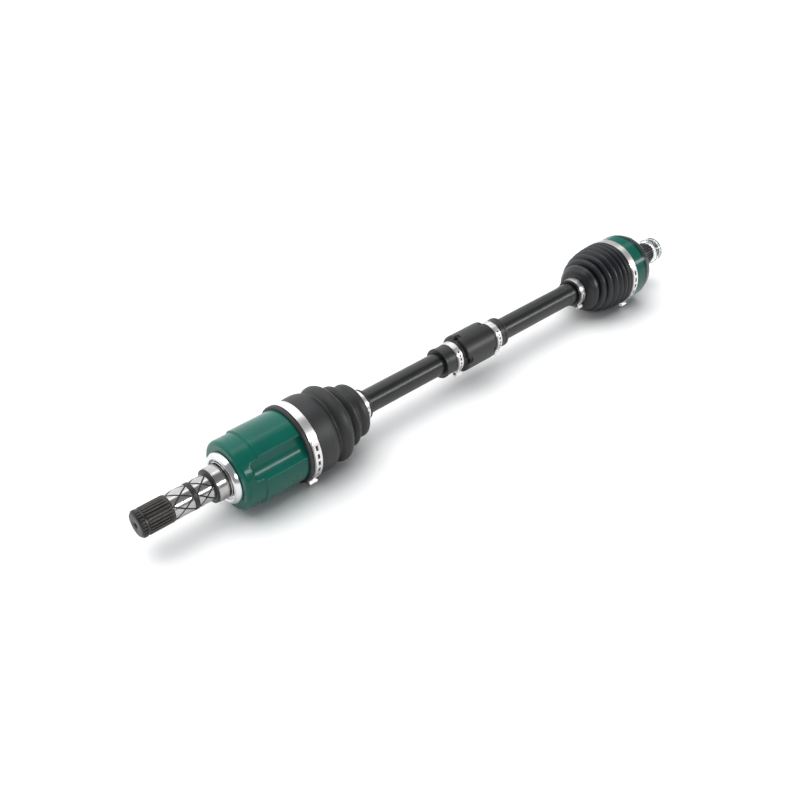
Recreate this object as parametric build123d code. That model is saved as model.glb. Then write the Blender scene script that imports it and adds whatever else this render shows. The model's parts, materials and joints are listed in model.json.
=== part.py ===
"""Front drive axle with two constant-velocity joints and a vibration damper.

The axle lies along X: the plunging tripod joint is at the low end and the fixed ball joint at the high
end. The origin is on the axle's axis, where the gearbox oil seal runs on the inboard stub. +Z is up and
Y is across. Angles about the axle are measured from +Y towards +Z. All lengths are in millimetres.
"""
import os
from math import atan2, pi, radians, sin, sqrt

from build123d import *

# Inboard stub: splined end, ground pilot and seal journal, from the tip towards the joint
STUB_TIP_X = -85.0
STUB_GROOVE_X = -79.5
STUB_SPLINE_END_X = -52.0
PILOT_BAND_X = -30.0
PILOT_BAND_WIDTH = 3.5
PILOT_END_X = -9.0
JOURNAL_X = -5.5
SPLINE_RADIUS = 13.8
PILOT_RADIUS = 13.4
SHOULDER_RADIUS = 17.4
JOURNAL_RADIUS = 18.0
JOURNAL_END_X = 5.5
SHIELD_SEAT_RADIUS = 17.6
CENTRE_HOLE_RADIUS = 2.2
CENTRE_HOLE_DEPTH = 10.0
GROOVE_WIDTH = 2.2
GROOVE_DEPTH = 1.5
CHAMFER = 1.5
CIRCLIP_RADIUS = 13.3
CIRCLIP_PLAY = 0.3
CIRCLIP_GAP_ANGLE = 240.0

# Inboard housing, a three-lobed cup
HOUSING_BACK_X = 12.0
HOUSING_STEP_X = 33.0
HOUSING_MOUTH_X = 102.0
HOUSING_RADIUS = 38.5
HOUSING_NECK_RADIUS = 36.8
HOUSING_CORNER = 8.6
CAVITY_X = 28.5
LOBE_RADIUS = 34.8
RIB_RADIUS = 25.0
RIB_FLARE_X = 84.0
RIB_FLARE_RADIUS = 32.0
FLUTE_START_X = 21.0
FLUTE_END_X = 84.0
FLUTE_DEPTH = 5.3
FLUTE_CUTTER_RADIUS = 22.0
TRUNNION_ANGLES = (90.0, 210.0, 330.0)
FLUTE_ANGLES = (30.0, 150.0, 270.0)
SHIELD_X = 5.0
SHIELD_RADIUS = 26.8
SHEET = 1.0
SHIELD_CHANNEL = 5.6
STOP_RING_X = 99.5
STOP_RING_RADIUS = 33.6
STOP_WIRE_RADIUS = 1.0

# Tripod
TRIPOD_X = 64.0
SPIDER_WIDTH = 24.0
SPIDER_HUB_RADIUS = 17.0
SPIDER_BORE_RADIUS = 11.6
TRUNNION_RADIUS = 8.5
TRUNNION_LENGTH = 32.0
ROLLER_RADIUS = 17.0
ROLLER_WIDTH = 13.0
ROLLER_PITCH_RADIUS = 24.0
ROLLER_PLAY = 0.75
HUB_FILLET = 2.0
NEEDLE_RADIUS = 1.25
NEEDLE_LENGTH = 11.0
NEEDLE_GAP = 0.05
NEEDLE_COUNT = 23
RETAINER_X = 30.8
RETAINER_WIDTH = 0.9
RETAINER_GROOVE = 1.0
RETAINER_RIM = 2.4
RETAINER_GAP = 3.0

# Shaft
SHAFT_RADIUS = 13.0
NECK_RADIUS = 12.0
LAND_RADIUS = 13.6
NECK_END_X = 92.0
NECK_TAPER = 14.0
LAND_X = 506.0
LAND_END_X = 536.0
OUTER_NECK_X = 556.0
LAND_TAPER = 2.0
OUTER_NECK_TAPER = 8.0
SHAFT_OVERHANG = 2.5

# Ball joint
BALL_JOINT_X = 599.0
BALL_RADIUS = 8.5
BALL_PITCH_RADIUS = 27.0
BALL_COUNT = 6
BALL_ANGLES = tuple(30.0 + 360.0 / BALL_COUNT * number for number in range(BALL_COUNT))
TRACK_CLEARANCE = 0.1
TRACK_SIDE_PLAY = 1.0
TRACK_REACH = 80.0
RACE_TRACK_SWEEP = 120.0
BELL_TRACK_SWEEP = 100.0
INNER_RACE_RADIUS = 24.2
INNER_RACE_WIDTH = 24.0
INNER_RACE_BORE_RADIUS = 11.6
CAGE_INNER_RADIUS = 24.6
CAGE_OUTER_RADIUS = 29.4
CAGE_WIDTH = 27.0
WINDOW_PLAY = 0.05
WINDOW_SIDE_PLAY = 1.2
WINDOW_DEPTH = 16.0
BELL_INNER_RADIUS = 29.9
BELL_RADIUS = 41.0
BELL_MOUTH_X = -16.0
BELL_MOUTH_RADIUS = 35.2
BELL_SEAT_X = 4.0
BELL_SEAT_RADIUS = 38.2
BELL_SHOULDER_X = 24.0
BELL_BACK_X = 38.5
BELL_BACK_RADIUS = 31.0
BELL_CAVITY_X = 24.5
OUTER_STUB_X = 640.5
OUTER_STUB_TIP_X = 690.0
OUTER_JOURNAL_RADIUS = 17.0
OUTER_JOURNAL_END_X = 646.0
OUTER_SPLINE_END_X = 676.0
OUTER_END_RADIUS = 12.4
PROTECTOR_X = 677.5
PROTECTOR_RADIUS = 15.8
PROTECTOR_GAP = 0.1
PROTECTOR_FLANGE_RADIUS = 16.8
PROTECTOR_WALL = 1.2
PROTECTOR_FLOOR = 4.0
PROTECTOR_CHAMFER = 0.6

# Boots: wall thickness, and the outline as (x, outer radius) from crest to valley to crest
BOOT_WALL = 2.5
BOOT_GAP = 0.3
INBOARD_CUFF_X = 81.0
INBOARD_BARREL_X = 97.0
INBOARD_BOOT_OUTLINE = (
    (97.0, 41.2), (108.0, 42.0), (113.0, 41.7), (117.0, 40.6), (121.8, 36.2), (127.0, 39.9),
    (131.5, 41.8), (136.0, 40.6), (139.8, 36.4), (144.2, 29.8), (149.5, 33.8), (152.6, 32.6),
    (156.8, 26.6), (162.5, 29.4), (166.5, 29.2), (169.4, 25.0), (170.5, 19.5),
)
OUTBOARD_BOOT_OUTLINE = (
    (531.0, 20.0), (534.6, 26.0), (539.1, 29.3), (543.0, 29.0), (547.7, 34.2), (551.6, 33.4),
    (556.3, 37.8), (560.6, 36.4), (565.2, 39.8), (569.2, 38.2), (573.8, 41.0), (577.4, 39.2),
    (581.1, 41.5), (584.2, 40.2), (587.5, 41.7), (590.5, 41.2),
)

# Clamps: x of the band's low edge, width, seat radius
BAND = 0.9
CLAMP_EAR_ANGLE = 232.0
EAR_HEIGHT = 5.6
EAR_HALF_WIDTH = 3.2
SMALL_EAR_SHARE = 0.72
TAIL_MARGIN = 0.8
TAIL_THICKNESS = 0.72
TAIL_SWEEP = 58.0
SLOT_COUNT = 5
CUFF_SEAT_RADIUS = 41.2
INBOARD_LARGE_CLAMP = (85.8, 9.4, CUFF_SEAT_RADIUS)
INBOARD_SMALL_CLAMP = (172.0, 7.0, 16.0)
OUTBOARD_SMALL_CLAMP = (521.5, 8.0, 16.0)
OUTBOARD_LARGE_CLAMP = (592.2, 9.4, CUFF_SEAT_RADIUS)
SMALL_CUFF_LIP = 16.8
CUFF_EDGE = 3.0

# Damper
DAMPER_X = 291.0
DAMPER_END_X = 389.0
DAMPER_BODY_X = 320.0
DAMPER_BODY_END_X = 364.0
DAMPER_BODY_RADIUS = 21.8
DAMPER_NECK_RADIUS = 16.6
DAMPER_LIP_RADIUS = 17.4
DAMPER_LIP = 3.0
DAMPER_MASS_RADIUS = 20.2
DAMPER_MASS_BORE = 15.2
DAMPER_MASS_MARGIN = 3.0
DAMPER_CLAMP_LEFT = (307.0, 8.0, DAMPER_NECK_RADIUS)
DAMPER_CLAMP_RIGHT = (370.0, 8.0, DAMPER_NECK_RADIUS)

# Snap rings
RING_SPAN = 315.0
SNAP_RING_WIDTH = 1.6
SNAP_RING_HEIGHT = 2.4
SNAP_RING_GAP_ANGLE = 90.0


def turned(*outline):
    """A solid of revolution about X from its (x, radius) outline."""
    return revolve(make_face(Polyline(*outline, close=True)), Axis.X)


def ring(x_low, x_high, inner, outer):
    """A plain ring about X."""
    return turned((x_low, inner), (x_high, inner), (x_high, outer), (x_low, outer))


def about_x(shape, angle):
    """The shape turned about X, from +Y towards +Z."""
    return Rot(angle, 0, 0) * shape


def radial(angle, distance, x=0.0):
    """A frame at a distance from X whose own Z points outwards at an angle."""
    return Pos(x, 0, 0) * Rot(angle - 90.0, 0, 0) * Pos(0, 0, distance)


def open_ring(x_low, width, inner, outer, gap_angle):
    """A snap ring: a ring about X with a gap centred on an angle."""
    gap = 360.0 - RING_SPAN
    profile = make_face(Polyline((x_low, inner), (x_low + width, inner), (x_low + width, outer),
                                 (x_low, outer), close=True))
    return about_x(revolve(profile, Axis.X, RING_SPAN), gap_angle + gap / 2.0)


def ear_clamp(x_low, width, seat):
    """An ear clamp: a band, its overlapping slotted tail and the pinched ear that tightens it."""
    outer = seat + BAND
    band = ring(x_low, x_low + width, seat, outer)
    middle = x_low + width / 2.0
    small = seat < CUFF_SEAT_RADIUS / 2.0
    share = SMALL_EAR_SHARE if small else 1.0
    height = EAR_HEIGHT * share
    half = EAR_HALF_WIDTH * share
    ear_face = Rectangle(half * 2.0, height + BAND) - Pos(0, -BAND / 2.0) * Rectangle(
        half * 2.0 - BAND * 2.0, height - BAND)
    ear = extrude(Plane.YZ * ear_face, width / 2.0, both=True)
    ear = radial(CLAMP_EAR_ANGLE, outer + height / 2.0 - BAND / 2.0, middle) * ear
    tail_low = x_low + TAIL_MARGIN
    tail_high = x_low + width - TAIL_MARGIN
    tail_face = make_face(Polyline((tail_low, outer), (tail_high, outer),
                                   (tail_high, outer + TAIL_THICKNESS),
                                   (tail_low, outer + TAIL_THICKNESS), close=True))
    tail = about_x(revolve(tail_face, Axis.X, TAIL_SWEEP), CLAMP_EAR_ANGLE - TAIL_SWEEP)
    step = TAIL_SWEEP / (SLOT_COUNT + 1.5)
    slot_length = radians(step) * seat * 0.5
    for number in range(SLOT_COUNT):
        angle = CLAMP_EAR_ANGLE - step * (number + 1.0)
        tail -= radial(angle, outer + BAND, middle) * Box(width * 0.36, slot_length, BAND * 2.0)
    return band + ear + tail


def boot(outline, wall, cuff_in, cuff_out):
    """A boot from its outer outline, thinned inwards, with a cuff profile at each end."""
    outer = list(cuff_in[0]) + list(outline) + list(cuff_out[0])
    inner = list(cuff_in[1]) + [(x, radius - wall) for x, radius in outline] + list(cuff_out[1])
    return turned(*(outer + inner[::-1]))


# ---------------------------------------------------------------- inboard joint
def inboard_stub_shaft():
    """The stub that plugs into the gearbox, friction-welded to the housing's back."""
    groove_end = STUB_GROOVE_X + GROOVE_WIDTH
    groove_radius = SPLINE_RADIUS - GROOVE_DEPTH
    stub = turned(
        (STUB_TIP_X, 0), (STUB_TIP_X, SPLINE_RADIUS - CHAMFER), (STUB_TIP_X + CHAMFER, SPLINE_RADIUS),
        (STUB_GROOVE_X, SPLINE_RADIUS), (STUB_GROOVE_X, groove_radius), (groove_end, groove_radius),
        (groove_end, SPLINE_RADIUS), (STUB_SPLINE_END_X, SPLINE_RADIUS),
        (STUB_SPLINE_END_X, PILOT_RADIUS), (PILOT_BAND_X, PILOT_RADIUS), (PILOT_BAND_X, SPLINE_RADIUS),
        (PILOT_BAND_X + PILOT_BAND_WIDTH, SPLINE_RADIUS),
        (PILOT_BAND_X + PILOT_BAND_WIDTH, PILOT_RADIUS), (PILOT_END_X, PILOT_RADIUS),
        (PILOT_END_X, SHOULDER_RADIUS), (JOURNAL_X, SHOULDER_RADIUS), (JOURNAL_X, JOURNAL_RADIUS),
        (JOURNAL_END_X, JOURNAL_RADIUS), (JOURNAL_END_X, SHIELD_SEAT_RADIUS),
        (HOUSING_BACK_X, SHIELD_SEAT_RADIUS), (HOUSING_BACK_X, 0))
    centre = Pos(STUB_TIP_X, 0, 0) * Rot(0, 90, 0) * Cylinder(CENTRE_HOLE_RADIUS, CENTRE_HOLE_DEPTH)
    return stub - centre


def inboard_housing():
    """The three-lobed cup: three roller tracks inside, three flutes between the lobes outside."""
    corner_x = HOUSING_BACK_X + HOUSING_CORNER
    corner_radius = HOUSING_NECK_RADIUS - HOUSING_CORNER
    diagonal = HOUSING_CORNER * sqrt(0.5)
    step = HOUSING_RADIUS - HOUSING_NECK_RADIUS
    half = Line((HOUSING_BACK_X, 0), (HOUSING_BACK_X, corner_radius))
    half += ThreePointArc((HOUSING_BACK_X, corner_radius),
                          (corner_x - diagonal, corner_radius + diagonal),
                          (corner_x, HOUSING_NECK_RADIUS))
    half += Polyline((corner_x, HOUSING_NECK_RADIUS), (HOUSING_STEP_X - step, HOUSING_NECK_RADIUS),
                     (HOUSING_STEP_X, HOUSING_RADIUS), (HOUSING_MOUTH_X, HOUSING_RADIUS),
                     (HOUSING_MOUTH_X, 0), (HOUSING_BACK_X, 0))
    cup = revolve(make_face(half), Axis.X)
    depth = HOUSING_MOUTH_X - CAVITY_X + 1.0
    middle = CAVITY_X + depth / 2.0
    track_width = 2.0 * (ROLLER_RADIUS + ROLLER_PLAY)
    lobes = Rot(0, 90, 0) * Cylinder(LOBE_RADIUS, depth)
    tracks = [radial(angle, HOUSING_RADIUS / 2.0, 0) * Box(depth, track_width, HOUSING_RADIUS)
              for angle in TRUNNION_ANGLES]
    cavity = lobes & (tracks[0] + tracks[1] + tracks[2])
    cavity += Rot(0, 90, 0) * Cylinder(RIB_RADIUS, depth)
    cup -= Pos(middle, 0, 0) * cavity
    cup -= turned((RIB_FLARE_X, 0), (RIB_FLARE_X, RIB_RADIUS), (HOUSING_MOUTH_X, RIB_FLARE_RADIUS),
                  (HOUSING_MOUTH_X + 1.0, RIB_FLARE_RADIUS), (HOUSING_MOUTH_X + 1.0, 0))
    flute_length = FLUTE_END_X - FLUTE_START_X
    for angle in FLUTE_ANGLES:
        distance = HOUSING_RADIUS - FLUTE_DEPTH + FLUTE_CUTTER_RADIUS
        cutter = Rot(0, 90, 0) * Cylinder(FLUTE_CUTTER_RADIUS, flute_length)
        cup -= radial(angle, distance, (FLUTE_START_X + FLUTE_END_X) / 2.0) * cutter
    groove = STOP_WIRE_RADIUS + 0.1
    cup -= ring(STOP_RING_X - groove, STOP_RING_X + groove, RIB_RADIUS, STOP_RING_RADIUS + groove)
    return cup


def inboard_dust_shield():
    """A pressed sheet ring that throws dirt off the seal: a sleeve, a channel and a flared rim."""
    back = HOUSING_BACK_X
    sleeve = SHIELD_SEAT_RADIUS + SHEET
    wall = SHIELD_RADIUS - SHIELD_CHANNEL
    return turned(
        (SHIELD_X + 1.0, SHIELD_SEAT_RADIUS), (back, SHIELD_SEAT_RADIUS), (back, wall + SHEET),
        (SHIELD_X + 2.0, wall + SHEET), (SHIELD_X + 1.8, SHIELD_RADIUS - 2.4),
        (SHIELD_X + 4.2, SHIELD_RADIUS - SHEET), (SHIELD_X + 6.4, SHIELD_RADIUS - 0.6),
        (SHIELD_X + 6.4, SHIELD_RADIUS + 0.4), (SHIELD_X + 3.6, SHIELD_RADIUS),
        (SHIELD_X + 0.8, SHIELD_RADIUS - 1.8), (SHIELD_X, SHIELD_RADIUS - 4.0),
        (SHIELD_X + 0.6, wall), (back - SHEET, wall), (back - SHEET, sleeve), (SHIELD_X + 1.0, sleeve))


def plunge_stop_ring():
    """The round wire ring in the mouth that keeps the rollers in."""
    wire = Pos(STOP_RING_X, STOP_RING_RADIUS) * Circle(STOP_WIRE_RADIUS)
    return revolve(wire, Axis.X, RING_SPAN)


def tripod_spider():
    """The three-armed spider splined to the shaft."""
    hub = Rot(0, 90, 0) * Cylinder(SPIDER_HUB_RADIUS, SPIDER_WIDTH)
    spider = fillet(hub.edges(), HUB_FILLET)
    for angle in TRUNNION_ANGLES:
        arm = Pos(0, 0, TRUNNION_LENGTH / 2.0) * Cylinder(TRUNNION_RADIUS, TRUNNION_LENGTH)
        groove = Pos(0, 0, RETAINER_X + RETAINER_WIDTH / 2.0) * (
            Cylinder(TRUNNION_RADIUS + 1.0, RETAINER_WIDTH)
            - Cylinder(TRUNNION_RADIUS - RETAINER_GROOVE, RETAINER_WIDTH))
        spider += Rot(angle - 90.0, 0, 0) * (arm - groove)
    spider -= Rot(0, 90, 0) * Cylinder(SPIDER_BORE_RADIUS, SPIDER_WIDTH * 2.0)
    return Pos(TRIPOD_X, 0, 0) * spider


def roller(angle):
    """A roller with a ball-shaped rim, on one trunnion."""
    bore = TRUNNION_RADIUS + 2.0 * (NEEDLE_RADIUS + NEEDLE_GAP)
    blank = Sphere(ROLLER_RADIUS) & Cylinder(ROLLER_RADIUS + 1.0, ROLLER_WIDTH)
    return radial(angle, ROLLER_PITCH_RADIUS, TRIPOD_X) * (blank - Cylinder(bore, ROLLER_WIDTH * 2.0))


def roller_needles(angle):
    """The full set of needles between one trunnion and its roller."""
    pitch = TRUNNION_RADIUS + NEEDLE_GAP + NEEDLE_RADIUS
    needles = [Rot(0, 0, 360.0 / NEEDLE_COUNT * number) * Pos(pitch, 0, 0)
               * Cylinder(NEEDLE_RADIUS, NEEDLE_LENGTH) for number in range(NEEDLE_COUNT)]
    return radial(angle, ROLLER_PITCH_RADIUS, TRIPOD_X) * Compound(children=needles)


def roller_retainer(angle):
    """The ring in the trunnion's groove that keeps the needles and the roller on."""
    disc = Cylinder(TRUNNION_RADIUS + RETAINER_RIM, RETAINER_WIDTH)
    disc -= Cylinder(TRUNNION_RADIUS - RETAINER_GROOVE, RETAINER_WIDTH)
    gap = Pos(TRUNNION_RADIUS, 0, 0) * Box(TRUNNION_RADIUS, RETAINER_GAP, RETAINER_WIDTH * 2.0)
    return radial(angle, RETAINER_X + RETAINER_WIDTH / 2.0, TRIPOD_X) * (disc - gap)


# ---------------------------------------------------------------- shaft and damper
def axle_shaft():
    """The solid bar: splined necks at both ends, a boot land and snap-ring grooves."""
    start = TRIPOD_X - SPIDER_WIDTH / 2.0 - SHAFT_OVERHANG
    end = BALL_JOINT_X + INNER_RACE_WIDTH / 2.0 + SHAFT_OVERHANG
    bore = SPIDER_BORE_RADIUS
    groove = bore - GROOVE_DEPTH
    first = TRIPOD_X - SPIDER_WIDTH / 2.0
    last = BALL_JOINT_X + INNER_RACE_WIDTH / 2.0
    width = SNAP_RING_WIDTH
    return turned(
        (start, 0), (start, bore - CHAMFER), (start + CHAMFER, bore), (first - width, bore),
        (first - width, groove), (first, groove), (first, bore),
        (TRIPOD_X + SPIDER_WIDTH / 2.0, bore), (TRIPOD_X + SPIDER_WIDTH / 2.0, NECK_RADIUS),
        (NECK_END_X, NECK_RADIUS), (NECK_END_X + NECK_TAPER, SHAFT_RADIUS), (LAND_X, SHAFT_RADIUS),
        (LAND_X + LAND_TAPER, LAND_RADIUS), (LAND_END_X, LAND_RADIUS),
        (LAND_END_X + LAND_TAPER, SHAFT_RADIUS), (OUTER_NECK_X, SHAFT_RADIUS),
        (OUTER_NECK_X + OUTER_NECK_TAPER, NECK_RADIUS),
        (BALL_JOINT_X - INNER_RACE_WIDTH / 2.0, NECK_RADIUS),
        (BALL_JOINT_X - INNER_RACE_WIDTH / 2.0, bore), (last, bore), (last, groove),
        (last + width, groove), (last + width, bore), (end - CHAMFER, bore), (end, bore - CHAMFER),
        (end, 0))


def damper_rubber():
    """The rubber sleeve: a neck at each end under a clamp, and a body moulded round the mass."""
    lip = DAMPER_LIP
    rubber = turned(
        (DAMPER_X, SHAFT_RADIUS), (DAMPER_X, DAMPER_LIP_RADIUS), (DAMPER_X + lip, DAMPER_LIP_RADIUS),
        (DAMPER_X + lip + 1.0, DAMPER_NECK_RADIUS), (DAMPER_BODY_X - 1.0, DAMPER_NECK_RADIUS),
        (DAMPER_BODY_X, DAMPER_BODY_RADIUS - 1.0), (DAMPER_BODY_X + 1.0, DAMPER_BODY_RADIUS),
        (DAMPER_BODY_END_X - 1.0, DAMPER_BODY_RADIUS), (DAMPER_BODY_END_X, DAMPER_BODY_RADIUS - 1.0),
        (DAMPER_BODY_END_X + 1.0, DAMPER_NECK_RADIUS), (DAMPER_END_X - lip - 1.0, DAMPER_NECK_RADIUS),
        (DAMPER_END_X - lip, DAMPER_LIP_RADIUS), (DAMPER_END_X, DAMPER_LIP_RADIUS),
        (DAMPER_END_X, SHAFT_RADIUS))
    return rubber - damper_mass()


def damper_mass():
    """The steel tube sealed in the rubber."""
    return ring(DAMPER_BODY_X + DAMPER_MASS_MARGIN, DAMPER_BODY_END_X - DAMPER_MASS_MARGIN,
                DAMPER_MASS_BORE, DAMPER_MASS_RADIUS)


# ---------------------------------------------------------------- ball joint
def tracks(sweep):
    """The six ball tracks as solids to cut: circular arcs about the joint's centre."""
    cutters = []
    for angle in BALL_ANGLES:
        section = SlotOverall(2.0 * (BALL_RADIUS + TRACK_CLEARANCE + TRACK_SIDE_PLAY),
                              2.0 * (BALL_RADIUS + TRACK_CLEARANCE))
        profile = Plane.YZ * Pos(0, BALL_PITCH_RADIUS) * section
        swept = revolve(profile, Axis.Y, sweep)
        swept = Rot(0, -sweep / 2.0, 0) * swept
        cutters.append(Rot(angle - 90.0, 0, 0) * swept)
    return cutters


def inner_race():
    """The ball joint's inner race, splined to the shaft."""
    race = Sphere(INNER_RACE_RADIUS) & Rot(0, 90, 0) * Cylinder(INNER_RACE_RADIUS, INNER_RACE_WIDTH)
    race -= Rot(0, 90, 0) * Cylinder(INNER_RACE_BORE_RADIUS, INNER_RACE_WIDTH * 2.0)
    for cutter in tracks(RACE_TRACK_SWEEP):
        race -= cutter
    return Pos(BALL_JOINT_X, 0, 0) * race


def ball_cage():
    """The cage that holds the six balls in one plane, halfway between the two races."""
    shell = Sphere(CAGE_OUTER_RADIUS) - Sphere(CAGE_INNER_RADIUS)
    cage = shell & Rot(0, 90, 0) * Cylinder(CAGE_OUTER_RADIUS, CAGE_WIDTH)
    for angle in BALL_ANGLES:
        window = Box(2.0 * (BALL_RADIUS + WINDOW_PLAY), 2.0 * (BALL_RADIUS + WINDOW_SIDE_PLAY),
                     WINDOW_DEPTH)
        cage -= radial(angle, BALL_PITCH_RADIUS) * window
    return Pos(BALL_JOINT_X, 0, 0) * cage


def ball(angle):
    """One ball."""
    return radial(angle, BALL_PITCH_RADIUS, BALL_JOINT_X) * Sphere(BALL_RADIUS)


def outer_race():
    """The bell-shaped outer race, forged in one piece with the splined stub for the wheel hub."""
    x = BALL_JOINT_X
    mouth = x + BELL_MOUTH_X
    cavity_end = x + BELL_CAVITY_X
    cavity_end_radius = sqrt(BELL_INNER_RADIUS ** 2 - BELL_CAVITY_X ** 2)
    halfway = BELL_INNER_RADIUS * sin(atan2(cavity_end_radius, BELL_CAVITY_X) / 2.0 + pi / 4.0)
    half = Polyline(
        (cavity_end, cavity_end_radius), (cavity_end, 0), (OUTER_STUB_TIP_X, 0),
        (OUTER_STUB_TIP_X, OUTER_END_RADIUS - CHAMFER), (OUTER_STUB_TIP_X - CHAMFER, OUTER_END_RADIUS),
        (OUTER_SPLINE_END_X, OUTER_END_RADIUS), (OUTER_SPLINE_END_X, SPLINE_RADIUS - 0.8),
        (OUTER_SPLINE_END_X - 0.8, SPLINE_RADIUS), (OUTER_JOURNAL_END_X, SPLINE_RADIUS),
        (OUTER_JOURNAL_END_X, OUTER_JOURNAL_RADIUS),
        (OUTER_STUB_X, OUTER_JOURNAL_RADIUS), (OUTER_STUB_X, OUTER_JOURNAL_RADIUS + 3.0),
        (x + BELL_BACK_X, BELL_BACK_RADIUS), (x + BELL_BACK_X - 1.5, BELL_BACK_RADIUS + 4.0),
        (x + BELL_SHOULDER_X + 8.0, BELL_RADIUS - 2.4), (x + BELL_SHOULDER_X, BELL_RADIUS),
        (x + BELL_SEAT_X, BELL_RADIUS), (x + BELL_SEAT_X, BELL_SEAT_RADIUS),
        (mouth + 4.0, BELL_SEAT_RADIUS), (mouth, BELL_SEAT_RADIUS - 1.8), (mouth, BELL_MOUTH_RADIUS),
        (mouth + 1.0, BELL_MOUTH_RADIUS),
        (mouth + 7.0, BELL_INNER_RADIUS), (x, BELL_INNER_RADIUS))
    half += ThreePointArc((x, BELL_INNER_RADIUS),
                          (x + sqrt(BELL_INNER_RADIUS ** 2 - halfway ** 2), halfway),
                          (cavity_end, cavity_end_radius))
    bell = revolve(make_face(half), Axis.X)
    keep = Pos(cavity_end - TRACK_REACH / 2.0, 0, 0) * Box(
        TRACK_REACH, 2.0 * BELL_RADIUS, 2.0 * BELL_RADIUS)
    for cutter in tracks(BELL_TRACK_SWEEP):
        bell -= Pos(x, 0, 0) * cutter & keep
    return bell - Pos(OUTER_STUB_TIP_X, 0, 0) * Rot(0, 90, 0) * Cylinder(CENTRE_HOLE_RADIUS, CENTRE_HOLE_DEPTH)


def outboard_stub_protector():
    """The clear plastic cap pushed over the stub's end for transport."""
    inner = OUTER_END_RADIUS + PROTECTOR_GAP
    end = OUTER_STUB_TIP_X + PROTECTOR_GAP
    return turned(
        (PROTECTOR_X, inner), (end, inner), (end, inner - PROTECTOR_FLOOR),
        (end + PROTECTOR_WALL, inner - PROTECTOR_FLOOR),
        (end + PROTECTOR_WALL, PROTECTOR_RADIUS - PROTECTOR_CHAMFER),
        (end + PROTECTOR_WALL - PROTECTOR_CHAMFER, PROTECTOR_RADIUS),
        (PROTECTOR_X + PROTECTOR_WALL, PROTECTOR_RADIUS),
        (PROTECTOR_X + PROTECTOR_WALL, PROTECTOR_FLANGE_RADIUS), (PROTECTOR_X, PROTECTOR_FLANGE_RADIUS))


# ---------------------------------------------------------------- boots
def inboard_boot():
    """The rubber boot between the housing and the shaft."""
    low, width, seat = INBOARD_LARGE_CLAMP
    small_low, small_width, small_seat = INBOARD_SMALL_CLAMP
    end = small_low + small_width + CUFF_EDGE
    cuff_in = (
        [(INBOARD_CUFF_X, CUFF_SEAT_RADIUS - 0.6),
         (INBOARD_CUFF_X + 1.4, CUFF_SEAT_RADIUS + 0.6), (low - 0.8, CUFF_SEAT_RADIUS + 0.6),
         (low - 0.4, seat), (low + width + 0.4, seat), (low + width + 0.8, CUFF_SEAT_RADIUS + 0.4)],
        [(INBOARD_CUFF_X, HOUSING_RADIUS), (INBOARD_BARREL_X - 0.1, HOUSING_RADIUS)])
    cuff_out = (
        [(small_low - 0.6, small_seat - BOOT_GAP), (small_low + small_width + 0.4, small_seat - BOOT_GAP),
         (small_low + small_width + 0.8, SMALL_CUFF_LIP), (end, SMALL_CUFF_LIP)],
        [(small_low - 0.6, SHAFT_RADIUS + BOOT_GAP), (end, SHAFT_RADIUS + BOOT_GAP)])
    return boot(INBOARD_BOOT_OUTLINE, BOOT_WALL, cuff_in, cuff_out)


def outboard_boot():
    """The ribbed, bell-shaped rubber boot between the shaft and the ball joint."""
    low, width, seat = OUTBOARD_SMALL_CLAMP
    big_low, big_width, big_seat = OUTBOARD_LARGE_CLAMP
    start = low - CUFF_EDGE
    end = BALL_JOINT_X + BELL_SEAT_X
    bore = LAND_RADIUS + BOOT_GAP
    cuff_in = (
        [(start, SMALL_CUFF_LIP), (low - 0.8, SMALL_CUFF_LIP),
         (low - 0.4, seat - BOOT_GAP), (low + width + 0.6, seat - BOOT_GAP)],
        [(start, bore), (low + width + 0.6, bore)])
    cuff_out = (
        [(big_low - 0.4, big_seat), (end, big_seat)],
        [(big_low - 0.4, BELL_SEAT_RADIUS), (end, BELL_SEAT_RADIUS)])
    return boot(OUTBOARD_BOOT_OUTLINE, BOOT_WALL, cuff_in, cuff_out)


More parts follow.
